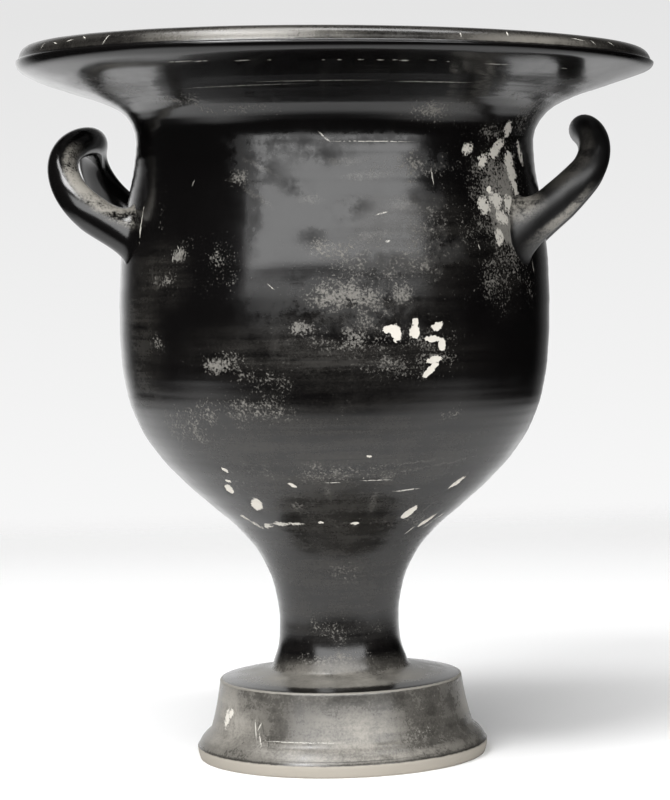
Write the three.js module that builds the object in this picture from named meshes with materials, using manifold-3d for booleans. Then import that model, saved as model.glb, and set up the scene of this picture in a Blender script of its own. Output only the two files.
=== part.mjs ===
// A Greek bell krater, a wheel-thrown mixing bowl for wine and water. Body, stem, disc foot and two
// upturned handles are one piece of fired clay under a black gloss. Millimetres, +Z up. The foot's ring
// stands on Z = 0, and the Z axis runs through the middle of the mouth. The handles lie along X.
import * as THREE from 'three';
import { mergeVertices } from 'three/addons/utils/BufferGeometryUtils.js';
import Module from 'manifold-3d';

// Driving dimensions. r is a radius from the wheel's axis and z a height above the standing plane.
const HEIGHT = 342.3;
const LIP = { widest: 153.6, widestZ: 335.3, grooveR: 152.2, grooveZ: 336.2, crestR: 144.6 };
const FLARE = { r: 150.95, z: 331.3, slope: 25 };
const NECK = { r: 96.3, z: 297.2 };
const BELLY = { r: 104.4, z: 215.8 };
const BOWL = { r: 56.9, z: 118.6, slope: 39.8 };
const STEM = { r: 29.2, z: 64.9, footR: 33, footZ: 44 };
const DISC = { edgeR: 59.2, topZ: 38.2, ledgeR: 34.6, ledgeZ: 42.5 };
const BASE = { r: 69.7, bandR: 70.9, bandZ: 5.8, shoulderR: 64.2, shoulderZ: 13.5 };
const RING_WIDTH = 9.7;
const HOLLOW = { topZ: 87, stemR: 17, stemZ: 60, spreadR: 30, spreadZ: 33 };
const WALL = 6;
const FLOOR_Z = 108;
const TURNS = 60;

// The potter joined the bowl to its stem a little off true: it leans by LEAN radians and sags sideways.
const LEAN = 0.027;
const FLARE_SAG = 0.01;
const LIP_RISE = 0.014;
const SWAY = { from: 105, to: 195 };

// Each handle is a roll of clay bent to a horseshoe in a flat sheet, and the sheet is then curled upwards.
// Its middle line is root, knee and tip as [distance from axis, z], with directions in degrees above level.
const ROLL = { r: 7.2, rootExtraWide: 0.9, rootExtraHigh: 2, taper: 45 };
const HANDLES = [
  {
    turn: -5, span: 88, bend: 36, root: [88, 251.5], rootDir: 33, knee: [120.8, 280.9], kneeDir: 50,
    kneeIn: 13, kneeOut: 9, tip: [120.4, 303.5], tipDir: 150, tipIn: 8,
    padZ: 255, padUp: 20, padDown: 18, padWide: 13,
  },
  {
    turn: 171.5, span: 90, bend: 45, root: [88, 249], rootDir: 28, knee: [121.5, 274], kneeDir: 55,
    kneeIn: 13, kneeOut: 11, tip: [121.4, 299], tipDir: 150, tipIn: 10,
    padZ: 251, padUp: 20, padDown: 14, padWide: 13,
  },
];
const ROLL_SIDES = 12;
const ROLL_STEPS = 24;
const PAD_STEPS = 4;
const PAD_REACH = 17;
const PAD_SINK = 0.4;

const degrees = Math.PI / 180;
const heading = (angle) => new THREE.Vector2(Math.cos(angle * degrees), Math.sin(angle * degrees));
const point = (r, z) => new THREE.Vector2(r, z);

// A cubic curve from one point to another, given the direction and reach of its pull at each end.
function curve(from, fromDir, fromReach, to, toDir, toReach) {
  const first = from.clone().addScaledVector(fromDir, fromReach);
  const second = to.clone().addScaledVector(toDir, -toReach);
  return new THREE.CubicBezierCurve(from, first, second, to);
}

// Joins curves into one list of points, each curve cut into its own number of steps.
function trace(pieces) {
  const points = [pieces[0][0].getPoint(0)];
  for (const [piece, steps] of pieces) {
    points.push(...piece.getPoints(steps).slice(1));
  }
  return points;
}

const straight = (from, to) => [new THREE.LineCurve(from, to), 1];
const rounded = (from, corner, to, steps) => [new THREE.QuadraticBezierCurve(from, corner, to), steps];

const up = heading(90);
const bowlSlope = heading(BOWL.slope);
const flareSlope = heading(FLARE.slope);

// The outside from belly to neck, which the handles stand on.
const shoulder = curve(point(BELLY.r, BELLY.z), up, 49, point(NECK.r, NECK.z), up, 19.6);

// Underside: hollow stem and foot, down to the standing ring.
function underside() {
  const top = point(0, HOLLOW.topZ);
  const stem = point(HOLLOW.stemR, HOLLOW.stemZ);
  const spread = point(HOLLOW.spreadR, HOLLOW.spreadZ);
  const ring = point(BASE.r - RING_WIDTH, 0);
  return [
    rounded(top, point(HOLLOW.stemR - 1, HOLLOW.topZ - 1), stem, 3),
    rounded(stem, point(HOLLOW.stemR + 1, HOLLOW.spreadZ + 6), spread, 2),
    rounded(spread, point(ring.x - 7, HOLLOW.spreadZ - 4), ring, 3),
    straight(ring, point(BASE.r, 0)),
  ];
}

// Outside of the foot: a band left bare at the bottom, a round shoulder, a hollow side and a thin disc edge.
function footSide() {
  const band = point(BASE.bandR, BASE.bandZ);
  const groove = point(BASE.bandR - 0.8, BASE.bandZ + 0.9);
  const side = point(BASE.shoulderR, BASE.shoulderZ);
  const edge = point(DISC.edgeR, DISC.topZ - 1.6);
  const rim = point(DISC.edgeR - 0.9, DISC.topZ);
  const ledge = point(DISC.ledgeR, DISC.ledgeZ);
  return [
    rounded(point(BASE.r, 0), point(BASE.bandR, BASE.bandZ / 2), band, 2),
    straight(band, groove),
    rounded(groove, point(BASE.shoulderR + 4.6, BASE.shoulderZ - 3.2), side, 2),
    rounded(side, point(DISC.edgeR + 1.6, 24), edge, 3),
    rounded(edge, point(DISC.edgeR, DISC.topZ - 0.2), rim, 1),
    straight(rim, ledge),
    straight(ledge, point(STEM.footR, STEM.footZ)),
  ];
}

// Outside of the stem, bowl, neck and flare.
function bodySide() {
  const foot = point(STEM.footR, STEM.footZ);
  const stem = point(STEM.r, STEM.z);
  const bowl = point(BOWL.r, BOWL.z);
  const flare = point(FLARE.r, FLARE.z);
  return [
    [curve(foot, heading(101), 6, stem, up, 14.2), 2],
    [curve(stem, up, 30, bowl, bowlSlope, 14.3), 5],
    [curve(bowl, bowlSlope, 50, point(BELLY.r, BELLY.z), up, 49), 7],
    [shoulder, 5],
    [curve(point(NECK.r, NECK.z), up, 22.6, flare, flareSlope, 29.3), 6],
  ];
}

// The lip: a sharp lower edge, a fine groove and a round roll over to the crest.
function lip() {
  const flare = point(FLARE.r, FLARE.z);
  const widest = point(LIP.widest, LIP.widestZ);
  const groove = point(LIP.grooveR, LIP.grooveZ);
  const crest = point(LIP.crestR, HEIGHT);
  return [
    rounded(flare, point(LIP.widest, LIP.widestZ - 2.4), widest, 2),
    straight(widest, groove),
    rounded(groove, point(LIP.grooveR - 0.8, HEIGHT), crest, 3),
  ];
}

// Inside of the flare and bowl, one wall's thickness in, down to the floor on the axis.
function inside() {
  const crest = point(LIP.crestR, HEIGHT);
  const brim = point(LIP.crestR - 7.5, HEIGHT - 1.6);
  const neck = point(NECK.r - WALL, NECK.z);
  const belly = point(BELLY.r - WALL, BELLY.z);
  const bowl = point(BOWL.r - 4.5, BOWL.z + 5.4);
  const down = heading(-90);
  const bowlDown = bowlSlope.clone().negate();
  return [
    rounded(crest, point(LIP.crestR - 4, HEIGHT), brim, 1),
    [curve(brim, heading(209), 22, neck, down, 22.5), 5],
    [curve(neck, down, 19.6, belly, down, 49), 3],
    [curve(belly, down, 47, bowl, bowlDown, 48), 5],
    [curve(bowl, bowlDown, 18, point(0, FLOOR_Z), heading(180), 20), 3],
  ];
}

// A closed mesh for manifold-3d: shared corners merged, flat slivers at the poles dropped.
function solidOf(wasm, geometry) {
  const bare = geometry.clone();
  bare.deleteAttribute('normal');
  bare.deleteAttribute('uv');
  const merged = mergeVertices(bare, 1e-4);
  const index = merged.index.array;
  const corners = [];
  for (let i = 0; i < index.length; i += 3) {
    const [a, b, c] = [index[i], index[i + 1], index[i + 2]];
    if (a !== b && b !== c && c !== a) {
      corners.push(a, b, c);
    }
  }
  const vertProperties = Float32Array.from(merged.attributes.position.array);
  return new wasm.Manifold(new wasm.Mesh({ numProp: 3, vertProperties, triVerts: Uint32Array.from(corners) }));
}

function vesselGeometry() {
  const outline = trace([...underside(), ...footSide(), ...bodySide(), ...lip(), ...inside()]);
  outline[0].x = 0;
  outline[outline.length - 1].x = 0;
  return new THREE.LatheGeometry(outline, TURNS).rotateX(Math.PI / 2);
}

// Radius of the outside at a height between belly and neck.
function wallRadius(z) {
  const points = shoulder.getPoints(60);
  const above = Math.max(1, points.findIndex((p) => p.y >= z));
  const [low, high] = [points[above - 1], points[above]];
  return THREE.MathUtils.mapLinear(z, low.y, high.y, low.x, high.x);
}

// The curled sheet of one handle, as a lookup from length along the sheet to a place and a heading.
function curledSheet(handle) {
  const [root, knee, tip] = [handle.root, handle.knee, handle.tip].map((p) => point(...p));
  const kneeDir = heading(handle.kneeDir);
  const path = new THREE.CurvePath();
  path.add(curve(root, heading(handle.rootDir), 13, knee, kneeDir, handle.kneeIn));
  path.add(curve(knee, kneeDir, handle.kneeOut, tip, heading(handle.tipDir), handle.tipIn));
  const length = path.getLength();
  const place = (s) => path.getPointAt(THREE.MathUtils.clamp(s / length, 0, 1));
  const direction = (s) => place(s + 1).sub(place(s - 1)).normalize();
  return { length, place, direction };
}

// The horseshoe in the flat sheet: two straight arms and a half ellipse, x across and y along the sheet.
function horseshoe(handle, length) {
  const half = handle.span / 2;
  const armEnd = length - handle.bend;
  const path = new THREE.CurvePath();
  path.add(new THREE.LineCurve(point(-half, 0), point(-half, armEnd)));
  path.add(new THREE.EllipseCurve(0, armEnd, half, handle.bend, Math.PI, 0, true));
  path.add(new THREE.LineCurve(point(half, armEnd), point(half, 0)));
  return path;
}

// One cross-section of the roll: centre, the direction along it, and its wide and high radius vectors.
function rollSection(sheet, path, fraction, rootNearness) {
  const flat = path.getPointAt(fraction);
  const along = path.getTangentAt(fraction);
  const place = sheet.place(flat.y);
  const dir = sheet.direction(flat.y);
  const across = new THREE.Vector3(0, 1, 0);
  const outward = new THREE.Vector3(dir.x, 0, dir.y);
  const normal = new THREE.Vector3(-dir.y, 0, dir.x);
  const swell = rootNearness ** 1.5;
  return {
    centre: new THREE.Vector3(place.x, flat.x, place.y).addScaledVector(normal, 0.5 * swell),
    along: across.clone().multiplyScalar(along.x).addScaledVector(outward, along.y),
    wide: across.clone().multiplyScalar(along.y).addScaledVector(outward, -along.x)
      .multiplyScalar(ROLL.r + ROLL.rootExtraWide * swell),
    high: normal.multiplyScalar(ROLL.r + ROLL.rootExtraHigh * swell),
  };
}

function ringOf(section) {
  return Array.from({ length: ROLL_SIDES }, (_, k) => {
    const angle = (2 * Math.PI * k) / ROLL_SIDES;
    return section.centre.clone()
      .addScaledVector(section.wide, Math.cos(angle))
      .addScaledVector(section.high, Math.sin(angle));
  });
}

// The smeared joint at one end of a handle: each side of the roll runs out along the wall to an oval pad.
function padRings(handle, section, side) {
  const ring = ringOf(section);
  const away = section.along.clone().multiplyScalar(-side);
  const middle = side * Math.asin(handle.span / 2 / wallRadius(handle.padZ));
  const facing = Math.sign(section.wide.y);
  const paths = ring.map((start, k) => {
    const angle = (2 * Math.PI * k) / ROLL_SIDES;
    const wide = handle.padWide * Math.cos(angle) * facing;
    const high = (Math.sin(angle) > 0 ? handle.padUp : handle.padDown) * Math.sin(angle);
    const r = wallRadius(handle.padZ + high) - PAD_SINK;
    const turn = middle + wide / r;
    const end = new THREE.Vector3(r * Math.cos(turn), r * Math.sin(turn), handle.padZ + high);
    const outward = new THREE.Vector3(-Math.sin(turn) * wide, Math.cos(turn) * wide, high).normalize();
    const startPull = start.clone().addScaledVector(away, -9);
    const endPull = end.clone().addScaledVector(outward, -7);
    return new THREE.CubicBezierCurve3(start, startPull, endPull, end);
  });
  return Array.from({ length: PAD_STEPS }, (_, i) => paths.map((path) => path.getPoint((i + 1) / PAD_STEPS)));
}

// Skins a list of rings into one closed mesh, with a fan at each end.
function skin(rings, startCap, endCap) {
  const sides = rings[0].length;
  const corners = rings.flat().concat([startCap, endCap]);
  const index = [];
  for (let i = 0; i + 1 < rings.length; i += 1) {
    for (let k = 0; k < sides; k += 1) {
      const [a, b] = [i * sides + k, i * sides + ((k + 1) % sides)];
      index.push(a, b, a + sides, b, b + sides, a + sides);
    }
  }
  const last = (rings.length - 1) * sides;
  for (let k = 0; k < sides; k += 1) {
    const next = (k + 1) % sides;
    index.push(corners.length - 2, next, k, corners.length - 1, last + k, last + next);
  }
  return new THREE.BufferGeometry().setFromPoints(corners).setIndex(index);
}

function handleGeometry(handle) {
  const sheet = curledSheet(handle);
  const path = horseshoe(handle, sheet.length);
  const length = path.getLength();
  const wallX = Math.sqrt(wallRadius(handle.padZ) ** 2 - (handle.span / 2) ** 2);
  let start = 0;
  while (sheet.place(start).x < wallX + PAD_REACH) {
    start += 0.25;
  }
  const sections = Array.from({ length: ROLL_STEPS + 1 }, (_, i) => {
    const run = THREE.MathUtils.lerp(start, length - start, i / ROLL_STEPS);
    const fromRoot = Math.min(run, length - run) - start;
    return rollSection(sheet, path, run / length, Math.max(0, 1 - fromRoot / ROLL.taper));
  });
  const near = padRings(handle, sections[0], -1);
  const far = padRings(handle, sections[ROLL_STEPS], 1);
  const inWall = (side) => {
    const r = wallRadius(handle.padZ) - WALL / 2;
    const turn = side * Math.asin(handle.span / 2 / r);
    return new THREE.Vector3(r * Math.cos(turn), r * Math.sin(turn), handle.padZ);
  };
  const rings = [...near.reverse(), ...sections.map(ringOf), ...far];
  return skin(rings, inWall(-1), inWall(1)).rotateZ(handle.turn * degrees);
}

// The lean: each point slides sideways and tips with its height, and the foot stays level.
function settle(geometry) {
  const position = geometry.attributes.position;
  const { smoothstep } = THREE.MathUtils;
  for (let i = 0; i < position.count; i += 1) {
    const z = position.getZ(i);
    const tip = LEAN * smoothstep(z, 45, 105) - FLARE_SAG * smoothstep(z, 308, 322)
      + LIP_RISE * smoothstep(z, 326, 340);
    const x = position.getX(i);
    position.setXYZ(i, x + sway(z) - sway(HEIGHT), position.getY(i), z - x * tip);
  }
  return geometry;
}

// Sideways shift of the axis at a height: the lean summed upwards from where the stem meets the bowl.
function sway(z) {
  const reach = SWAY.to - SWAY.from;
  const u = THREE.MathUtils.clamp((z - SWAY.from) / reach, 0, 1);
  return LEAN * (reach * (u ** 3 - u ** 4 / 2) + Math.max(z - SWAY.to, 0));
}

const wasm = await Module();
wasm.setup();

let body = solidOf(wasm, vesselGeometry());
for (const handle of HANDLES) {
  body = body.add(solidOf(wasm, handleGeometry(handle)));
}
const joined = body.getMesh();
const geometry = new THREE.BufferGeometry();
geometry.setAttribute('position', new THREE.BufferAttribute(joined.vertProperties, 3));
geometry.setIndex(new THREE.BufferAttribute(joined.triVerts, 1));

const blackGloss = new THREE.MeshStandardMaterial({ color: 0x1d1b19, roughness: 0.35, metalness: 0 });
const krater = new THREE.Mesh(settle(geometry), blackGloss);
krater.name = 'krater';

const group = new THREE.Group();
group.add(krater);
export default group;
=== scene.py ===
import math

import bpy
import numpy as np
from mathutils import Matrix, Vector


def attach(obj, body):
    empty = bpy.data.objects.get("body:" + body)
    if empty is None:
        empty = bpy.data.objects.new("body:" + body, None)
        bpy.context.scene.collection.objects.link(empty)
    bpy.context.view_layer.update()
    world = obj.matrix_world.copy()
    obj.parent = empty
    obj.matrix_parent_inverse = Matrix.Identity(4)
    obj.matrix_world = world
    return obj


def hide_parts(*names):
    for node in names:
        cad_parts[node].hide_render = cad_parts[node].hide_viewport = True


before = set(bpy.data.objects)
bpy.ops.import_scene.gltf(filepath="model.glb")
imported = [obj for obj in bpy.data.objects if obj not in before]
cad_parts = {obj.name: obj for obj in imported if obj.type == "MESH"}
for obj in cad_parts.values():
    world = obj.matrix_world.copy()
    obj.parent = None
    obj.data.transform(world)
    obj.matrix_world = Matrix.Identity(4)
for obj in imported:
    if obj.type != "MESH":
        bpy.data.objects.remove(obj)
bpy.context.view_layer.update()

# Krater -------------------------------------------------------------------------------------------
# A bell krater, in which wine was mixed with water. Body, stem and disc foot are thrown in fine clay,
# two bent rolls of clay are pressed on as handles, and the whole is fired once under a black gloss.
# Lengths are millimetres: r is a radius from the wheel's axis and z a height above the table.

# The outline's points. "above" and "below" are how far the curve on that side of a point reaches along
# the point's own direction, and a slope is in degrees above level.
HEIGHT = 342.3
LIP = {"widest": 153.6, "widest_z": 335.3, "groove_r": 152.2, "groove_z": 336.2, "crest_r": 144.6}
FLARE = {"r": 150.95, "z": 331.3, "slope": 25, "below": 29.3}
NECK = {"r": 96.3, "z": 297.2, "below": 19.6, "above": 22.6}
BELLY = {"r": 104.4, "z": 215.8, "below": 49, "above": 49}
BOWL = {"r": 56.9, "z": 118.6, "slope": 39.8, "below": 14.3, "above": 50}
STEM = {"r": 29.2, "z": 64.9, "below": 14.2, "above": 30}
STEM_FOOT = {"r": 33, "z": 44, "slope": 101, "above": 6}
DISC = {"edge_r": 59.2, "side_z": 24, "top_z": 38.2, "ledge_r": 34.6, "ledge_z": 42.5}
DISC_MIDDLE = {"r": 46.4, "z": 40.35}
BASE = {"r": 69.7, "band_r": 70.9, "band_z": 5.8, "shoulder_r": 64.2, "shoulder_z": 13.5}
RING_WIDTH = 9.7
HOLLOW = {"top_z": 87, "stem_r": 17, "stem_z": 60, "spread_r": 30, "spread_z": 33}
WALL = 6
BRIM = {"in": 7.5, "down": 1.6, "slope": 209, "below": 22}
NECK_IN = {"above": 22.5}
BELLY_IN = {"below": 47}
BOWL_IN = {"in": 4.5, "up": 5.4, "above": 48, "below": 18}
FLOOR = {"z": 108, "reach": 20}
# Corners round the wheel.
TURNS = 300


def heading(angle):
    """The direction at an angle in degrees above level, as [outwards, upwards]."""
    return np.array([math.cos(math.radians(angle)), math.sin(math.radians(angle))])


def cubic(first, leave, arrive, last, steps):
    """first (1-t)^3 + 3 leave t (1-t)^2 + 3 arrive t^2 (1-t) + last t^3, without its first point."""
    t = (np.arange(steps) + 1).reshape(-1, *[1] * np.ndim(first)) / steps
    first, leave, arrive, last = (np.asarray(p, float) for p in (first, leave, arrive, last))
    return first * (1 - t) ** 3 + 3 * leave * t * (1 - t) ** 2 + 3 * arrive * t**2 * (1 - t) + last * t**3


def sweep(first, first_dir, first_reach, last, last_dir, last_reach, steps):
    """A cubic curve given by the direction and reach of its pull at each end."""
    first, last = np.array(first, float), np.array(last, float)
    return cubic(first, first + first_dir * first_reach, last - last_dir * last_reach, last, steps)


def rounded(first, corner, last, steps):
    """first (1-t)^2 + 2 corner t (1-t) + last t^2, without its first point."""
    t = (np.arange(steps) + 1)[:, None] / steps
    first, corner, last = (np.array(p, float) for p in (first, corner, last))
    return first * (1 - t) ** 2 + 2 * corner * t * (1 - t) + last * t**2


up = heading(90)
bowl_slope = heading(BOWL["slope"])
belly, neck = [BELLY["r"], BELLY["z"]], [NECK["r"], NECK["z"]]
shoulder = sweep(belly, up, BELLY["above"], neck, up, NECK["below"], 44)


def underside():
    """Hollow stem and foot, from the axis down to the standing ring."""
    top, stem = [0, HOLLOW["top_z"]], [HOLLOW["stem_r"], HOLLOW["stem_z"]]
    spread, ring = [HOLLOW["spread_r"], HOLLOW["spread_z"]], [BASE["r"] - RING_WIDTH, 0]
    return np.vstack([
        [top],
        rounded(top, [HOLLOW["stem_r"] - 1, HOLLOW["top_z"] - 1], stem, 6),
        rounded(stem, [HOLLOW["stem_r"] + 1, HOLLOW["spread_z"] + 6], spread, 4),
        rounded(spread, [ring[0] - 7, HOLLOW["spread_z"] - 4], ring, 6),
    ])


def outside():
    """Foot, stem, bowl, neck and flare, up to the lip's sharp lower edge."""
    band = [BASE["band_r"], BASE["band_z"]]
    groove = [BASE["band_r"] - 0.8, BASE["band_z"] + 0.9]
    side = [BASE["shoulder_r"], BASE["shoulder_z"]]
    edge, rim = [DISC["edge_r"], DISC["top_z"] - 1.6], [DISC["edge_r"] - 0.9, DISC["top_z"]]
    middle, ledge = [DISC_MIDDLE["r"], DISC_MIDDLE["z"]], [DISC["ledge_r"], DISC["ledge_z"]]
    foot, foot_slope = [STEM_FOOT["r"], STEM_FOOT["z"]], heading(STEM_FOOT["slope"])
    stem, bowl = [STEM["r"], STEM["z"]], [BOWL["r"], BOWL["z"]]
    flare, flare_slope = [FLARE["r"], FLARE["z"]], heading(FLARE["slope"])
    return np.vstack([
        [[BASE["r"], 0]],
        rounded([BASE["r"], 0], [BASE["band_r"], BASE["band_z"] / 2], band, 5),
        rounded(band, band, groove, 2),
        rounded(groove, [BASE["shoulder_r"] + 4.6, BASE["shoulder_z"] - 3.2], side, 7),
        rounded(side, [DISC["edge_r"] + 1.6, DISC["side_z"]], edge, 11),
        rounded(edge, [DISC["edge_r"], DISC["top_z"] - 0.2], rim, 4),
        rounded(rim, middle, ledge, 8),
        rounded(ledge, [STEM_FOOT["r"] + 0.6, DISC["ledge_z"] + 0.3], foot, 3),
        sweep(foot, foot_slope, STEM_FOOT["above"], stem, up, STEM["below"], 10),
        sweep(stem, up, STEM["above"], bowl, bowl_slope, BOWL["below"], 28),
        sweep(bowl, bowl_slope, BOWL["above"], belly, up, BELLY["below"], 56),
        shoulder,
        sweep(neck, up, NECK["above"], flare, flare_slope, FLARE["below"], 40),
    ])


def lip():
    """A thin edge, a fine groove above it and a round roll over to the crest."""
    flare, widest = [FLARE["r"], FLARE["z"]], [LIP["widest"], LIP["widest_z"]]
    groove, crest = [LIP["groove_r"], LIP["groove_z"]], [LIP["crest_r"], HEIGHT]
    return np.vstack([
        rounded(flare, [LIP["widest"], LIP["widest_z"] - 2.4], widest, 5),
        rounded(widest, [LIP["groove_r"] + 0.3, LIP["widest_z"] + 0.1], groove, 3),
        rounded(groove, [LIP["groove_r"] - 0.8, HEIGHT], crest, 10),
    ])


def inside():
    """Inside of flare and bowl, one wall's thickness in at neck and belly, down to the floor."""
    crest, brim = [LIP["crest_r"], HEIGHT], [LIP["crest_r"] - BRIM["in"], HEIGHT - BRIM["down"]]
    neck_in, belly_in = [NECK["r"] - WALL, NECK["z"]], [BELLY["r"] - WALL, BELLY["z"]]
    bowl_in = [BOWL["r"] - BOWL_IN["in"], BOWL["z"] + BOWL_IN["up"]]
    return np.vstack([
        rounded(crest, [LIP["crest_r"] - 4, HEIGHT], brim, 4),
        sweep(brim, heading(BRIM["slope"]), BRIM["below"], neck_in, -up, NECK_IN["above"], 14),
        sweep(neck_in, -up, NECK["below"], belly_in, -up, BELLY["above"], 10),
        sweep(belly_in, -up, BELLY_IN["below"], bowl_in, -bowl_slope, BOWL_IN["above"], 16),
        sweep(bowl_in, -bowl_slope, BOWL_IN["below"], [0, FLOOR["z"]], heading(180), FLOOR["reach"], 8),
    ])


hollow, outer = underside(), np.vstack([outside(), lip()])
profile = np.vstack([hollow, outer, inside()])
steps = np.hypot(*np.diff(profile, axis=0).T)
run = np.concatenate([[0], np.cumsum(steps)])
run -= run[len(hollow)]
outer_run = run[len(hollow):len(hollow) + len(outer)]


def run_at(height):
    """Length along the outside, from the table up to a height."""
    return np.interp(height, outer[:, 1], outer_run)


def radius_at(height):
    """Radius of the outside at a height."""
    return np.interp(height, outer[:, 1], outer[:, 0])


# Places on the outside are [turn, height, half width, half height, lean]. A turn is in degrees round
# the wheel from the front, to the right; lean is the angle of the oval's long side.
CHIPS = [
    (15.4, 208.2, 2.7, 4.7, 6), (13.6, 209.9, 3.6, 2.3, 16), (20.2, 208.6, 2.9, 3.3, 0),
    (20.4, 213, 2, 2.2, 0), (26.4, 211, 3.5, 2.4, 8), (25.4, 205.4, 5.2, 1.6, 0),
    (27.9, 202.8, 2, 3.6, 0), (25.7, 195.8, 5.2, 1.8, 14), (24.9, 191.4, 5.4, 1.9, 40),
    (-42.5, 133.8, 3, 3.2, 20), (-40, 137.8, 1.6, 1.2, 0), (-38, 143.6, 2, 1.4, -30),
    (-15, 137.1, 2.2, 1.3, -30), (-34.5, 126.5, 5, 4.6, 35), (34, 122.4, 2.6, 7, -48),
    (52, 117, 1.8, 8, -52), (48, 136.3, 1.8, 6.6, -48), (-7.5, 118.1, 1.5, 1.1, 0),
    (9, 117.7, 2.4, 1.4, 0), (10, 151.7, 1.4, 0.9, 0), (46, 273.4, 1.9, 2, 0),
]
CHIP_DEPTH = 0.55
# The wall gave a little where a thumb pressed it while the handles went on.
PRESSES = [(-28, 262, 34, 34, -20), (46, 262, 24, 30, 0)]
PRESS_DEPTH = 0.3
# Ridges left by the fingers: [depth, spacing along the profile, start]. They climb a spiral, start
# above the stem's foot and stop short of the lip.
RIDGES = [(0.05, 5, 0), (0.07, 17, 1)]
CLIMB = 5
RIDGE_ZONE = {"from": 46, "full": 66, "fade": 8}
INSET = 0.1


def dents(turn, height, places, depth):
    """Depth under each oval place, a smooth bowl: depth (1 - distance^2)^2, 0 outside the oval."""
    total = np.zeros(np.broadcast(turn, height).shape)
    for place_turn, place_height, wide, high, lean in places:
        across = np.radians(turn - place_turn) * radius_at(place_height)
        along = height - place_height
        c, s = math.cos(math.radians(lean)), math.sin(math.radians(lean))
        d2 = ((across * c + along * s) / wide) ** 2 + ((along * c - across * s) / high) ** 2
        total += depth * np.clip(1 - d2, 0, 1) ** 2
    return total


def thrown():
    """The profile carried round the wheel: x = r sin(turn), y = -r cos(turn), with r moved in and out
    by fine finger ridges that climb in a slow spiral, by the chips and by thumb presses."""
    turn = np.linspace(-180, 180, TURNS + 1)[None, :]
    r, z = profile[:, :1], profile[:, 1:]
    slope = np.gradient(profile, axis=0)
    normal = np.stack([slope[:, 1], -slope[:, 0]], 1) / np.hypot(*slope.T)[:, None]
    climb = run[:, None] - CLIMB * turn / 360
    ridge = sum(depth * np.sin(climb * 2 * np.pi / apart + start) for depth, apart, start in RIDGES)
    zone_start, zone_full = RIDGE_ZONE["from"], RIDGE_ZONE["full"]
    on_body = np.clip((z - zone_start) / (zone_full - zone_start), 0, 1)
    on_body = on_body * np.clip((FLARE["z"] - z) / RIDGE_ZONE["fade"], 0, 1)
    is_outer = (run[:, None] > 0) & (run[:, None] < outer_run[-1])
    move = (ridge - INSET) * on_body
    move = move - is_outer * (dents(turn, z, CHIPS, CHIP_DEPTH) + dents(turn, z, PRESSES, PRESS_DEPTH))
    r, z = r + normal[:, :1] * move, z + normal[:, 1:] * move
    angle = np.radians(turn)
    body = np.stack([r * np.sin(angle), -r * np.cos(angle), z + 0 * angle], -1)
    flat = np.stack(np.broadcast_arrays(angle * BELLY["r"], run[:, None]), -1)
    return body, flat


def skin(rings, flat, start, end):
    """A closed skin: four-sided faces between neighbouring rings, and a fan to a point at each end.
    The last column of flat repeats the first one place further round, so the seam never folds."""
    count, sides = rings.shape[:2]
    here = np.arange(count * sides).reshape(count, sides)
    there = np.roll(here, -1, axis=1)
    quads = np.stack([here[:-1], there[:-1], there[1:], here[1:]], -1).reshape(-1, 4)
    tips = np.full(sides, count * sides)
    first_fan = np.stack([tips, there[0], here[0]], -1)
    last_fan = np.stack([tips + 1, here[-1], there[-1]], -1)
    fans = np.vstack([first_fan, last_fan])
    left, right = flat[:, :-1], flat[:, 1:]
    quad_uv = np.stack([left[:-1], right[:-1], right[1:], left[1:]], 2).reshape(-1, 2)
    middle = (left + right) / 2
    fan_uv = np.vstack([
        np.stack([middle[0], right[0], left[0]], 1).reshape(-1, 2),
        np.stack([middle[-1], left[-1], right[-1]], 1).reshape(-1, 2),
    ])
    corners = np.vstack([rings.reshape(-1, 3), [start, end]])
    return corners, quads, fans, quad_uv, fan_uv


# Each handle is a roll of clay bent to a horseshoe in a flat sheet, and the sheet is then curled up.
# Its middle line is root, knee and tip as [distance from the axis, z].
ROLL = {
    "r": 7.2, "root_extra_wide": 0.9, "root_extra_high": 2, "root_lift": 0.5, "root_out": 13, "taper": 45,
}
HANDLES = [
    {
        "turn": -5, "span": 88, "bend": 36, "root": [88, 251.5], "root_dir": 33, "knee": [120.8, 280.9],
        "knee_dir": 50, "knee_in": 13, "knee_out": 9, "tip": [120.4, 303.5], "tip_dir": 150, "tip_in": 8,
        "pad_z": 255, "pad_up": 20, "pad_down": 18, "pad_wide": 13,
    },
    {
        "turn": 171.5, "span": 90, "bend": 45, "root": [88, 249], "root_dir": 28, "knee": [121.5, 274],
        "knee_dir": 55, "knee_in": 13, "knee_out": 11, "tip": [121.4, 299], "tip_dir": 150, "tip_in": 10,
        "pad_z": 251, "pad_up": 20, "pad_down": 14, "pad_wide": 13,
    },
]
ROLL_SIDES = 24
ROLL_STEPS = 84
SHEET_STEPS = 40
BOW_STEPS = 180
PAD_STEPS = 14
PAD_REACH = 17
PAD_SINK = 0.4
PAD_LEAVE = 9
PAD_ARRIVE = 7
# On the UV map the first handle starts at [SHIFT, SHIFT] and the second at twice that.
SHIFT = 1000


def lengths(path):
    """Length from the start of a path to each of its points."""
    return np.concatenate([[0], np.cumsum(np.linalg.norm(np.diff(path, axis=0), axis=1))])


def follow(path, distance):
    """The points at given distances along a path."""
    along = lengths(path)
    return np.stack([np.interp(distance, along, column) for column in path.T], -1)


def direction(path, distance):
    """Unit direction of a path at given distances, from points 1 mm to each side."""
    step = follow(path, distance + 1) - follow(path, distance - 1)
    return step / np.linalg.norm(step, axis=-1, keepdims=True)


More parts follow.
